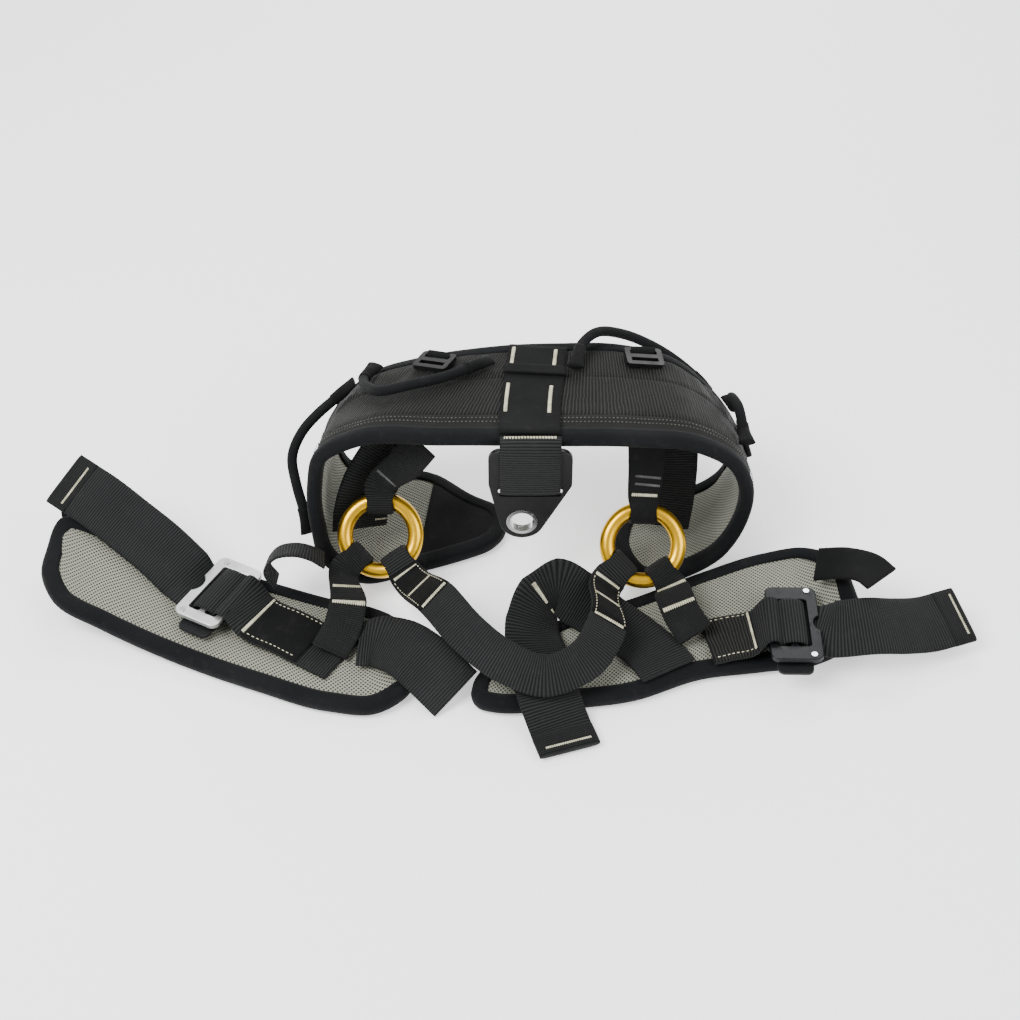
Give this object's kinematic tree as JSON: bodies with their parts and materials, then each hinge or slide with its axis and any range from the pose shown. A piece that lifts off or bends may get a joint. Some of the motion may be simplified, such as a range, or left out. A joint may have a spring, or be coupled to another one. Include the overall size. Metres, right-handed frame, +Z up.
{
  "type": "tree climbing saddle",
  "caption": "Tree climbing saddle: padded waist belt with a back plate, two gold rings joined by a webbing bridge, and padded leg loops with buckles.",
  "frame": {"origin": "under the middle of the saddle's box, on the surface it lies on", "axes": "+Z up, +Y from the leg loops towards the waist belt, +X to the right along the belt"},
  "size_m": [0.7049, 0.3226, 0.1529],
  "materials": {
    "gold_aluminium": "gold anodised, satin",
    "silver_aluminium": "bead blasted, worn edges",
    "black_aluminium": "black anodised, satin",
    "steel_studs": "brushed",
    "black_plastic": "moulded, fine texture",
    "loop_tube": "smooth extruded tube",
    "foam": "closed-cell foam, hidden",
    "grey_mesh": "open spacer mesh",
    "binding_tape": "woven tape, folded over the edge",
    "cover_cloth": "plain coated cloth",
    "ribbed_band": "ribbed band, ribs across",
    "webbing": "flat polyester webbing, cream bar tacks"
  },
  "bodies": {
    "harness": {"adjuster_tabs": "webbing", "belt_back_band": "ribbed_band", "belt_binding": "binding_tape", "belt_cover": "cover_cloth", "belt_end_binding": "binding_tape", "belt_foam": "foam", "belt_main_band": "ribbed_band", "belt_mesh": "grey_mesh", "bridge_strap": "webbing", "centre_strap": "webbing", "gear_loop_tabs": "webbing", "left_block_strap": "webbing", "left_buckle_base": "black_plastic", "left_hip_strap": "webbing", "left_link": "webbing", "left_pad_binding": "binding_tape", "left_pad_cover": "cover_cloth", "left_pad_end_binding": "binding_tape", "left_pad_foam": "foam", "left_pad_mesh": "grey_mesh", "left_ring_strap": "webbing", "left_riser": "webbing", "left_tail": "webbing", "left_tail_tip": "webbing", "left_wrap": "webbing", "pad_loop": "webbing", "pad_strap": "webbing", "right_block_strap": "webbing", "right_buckle_base": "black_plastic", "right_hip_strap": "webbing", "right_link": "webbing", "right_pad_binding": "binding_tape", "right_pad_cover": "cover_cloth", "right_pad_end_binding": "binding_tape", "right_pad_foam": "foam", "right_pad_mesh": "grey_mesh", "right_ring_strap": "webbing", "right_tail": "webbing", "right_tail_tip": "webbing", "right_wrap": "webbing", "right_wrap_tip": "webbing", "side_tab": "webbing", "strap_keeper": "webbing"},
    "left_ring": {"left_ring": "gold_aluminium"},
    "right_ring": {"right_ring": "gold_aluminium"},
    "back_plate": {"back_plate": "black_plastic", "plate_eyelet": "steel_studs", "plate_loop": "webbing"},
    "left_buckle": {"left_buckle": "silver_aluminium", "left_buckle_wrap": "webbing", "left_buckle_rivets": "steel_studs"},
    "right_buckle": {"right_buckle": "black_aluminium", "right_buckle_wrap": "webbing", "right_buckle_rivets": "steel_studs"},
    "left_adjuster": {"left_adjuster": "black_plastic"},
    "right_adjuster": {"right_adjuster": "black_plastic"},
    "left_side_gear_loop": {"left_side_gear_loop": "loop_tube"},
    "left_back_gear_loop": {"left_back_gear_loop": "loop_tube"},
    "right_back_gear_loop": {"right_back_gear_loop": "loop_tube"},
    "right_side_gear_loop": {"right_side_gear_loop": "loop_tube"}
  },
  "joints": [
    {"name": "left_ring_spin", "type": "hinge", "parent": "harness", "child": "left_ring", "pos_m": [-0.0934, 0.0252, 0.04477], "axis": [0, -0.7413, 0.6712], "continuous": true},
    {"name": "right_ring_spin", "type": "hinge", "parent": "harness", "child": "right_ring", "pos_m": [0.1066, 0.0142, 0.04477], "axis": [0, -0.7413, 0.6712], "continuous": true},
    {"name": "back_plate_swing", "type": "hinge", "parent": "harness", "child": "back_plate", "pos_m": [0.0206, 0.0242, 0.14237], "axis": [1, 0, 0], "range_deg": [-75, 18]},
    {"name": "left_buckle_tilt", "type": "hinge", "parent": "harness", "child": "left_buckle", "pos_m": [-0.1994, -0.0268, 0.02677], "axis": [0.4659, 0.8848, 0], "range_deg": [0, 45]},
    {"name": "right_buckle_tilt", "type": "hinge", "parent": "harness", "child": "right_buckle", "pos_m": [0.1986, -0.0538, 0.02877], "axis": [-0.0301, -0.9995, 0], "range_deg": [0, 45]},
    {"name": "left_adjuster_lift", "type": "hinge", "parent": "harness", "child": "left_adjuster", "pos_m": [-0.04837, 0.12612, 0.14007], "axis": [-0.8932, 0.4158, -0.1712], "range_deg": [0, 75]},
    {"name": "right_adjuster_lift", "type": "hinge", "parent": "harness", "child": "right_adjuster", "pos_m": [0.10798, 0.13149, 0.14058], "axis": [-0.9879, -0.0825, 0.1314], "range_deg": [0, 75]},
    {"name": "left_side_loop_flex", "type": "hinge", "parent": "harness", "child": "left_side_gear_loop", "pos_m": [-0.12129, 0.11482, 0.11681], "axis": [-0.2863, -0.6112, -0.7379], "range_deg": [-6, 22], "stiffness_Nm_per_rad": 0.05},
    {"name": "left_back_loop_flex", "type": "hinge", "parent": "harness", "child": "left_back_gear_loop", "pos_m": [-0.01593, 0.10897, 0.14607], "axis": [-0.9547, 0.1937, -0.2259], "range_deg": [0, 35], "stiffness_Nm_per_rad": 0.05},
    {"name": "right_back_loop_flex", "type": "hinge", "parent": "harness", "child": "right_back_gear_loop", "pos_m": [0.0566, 0.1102, 0.14777], "axis": [0.8189, 0.3431, -0.4601], "range_deg": [0, 30], "stiffness_Nm_per_rad": 0.05},
    {"name": "right_side_loop_flex", "type": "hinge", "parent": "harness", "child": "right_side_gear_loop", "pos_m": [0.18005, 0.1261, 0.09495], "axis": [-0.0994, 0.9851, -0.1403], "range_deg": [-6, 22], "stiffness_Nm_per_rad": 0.05}
  ]
}
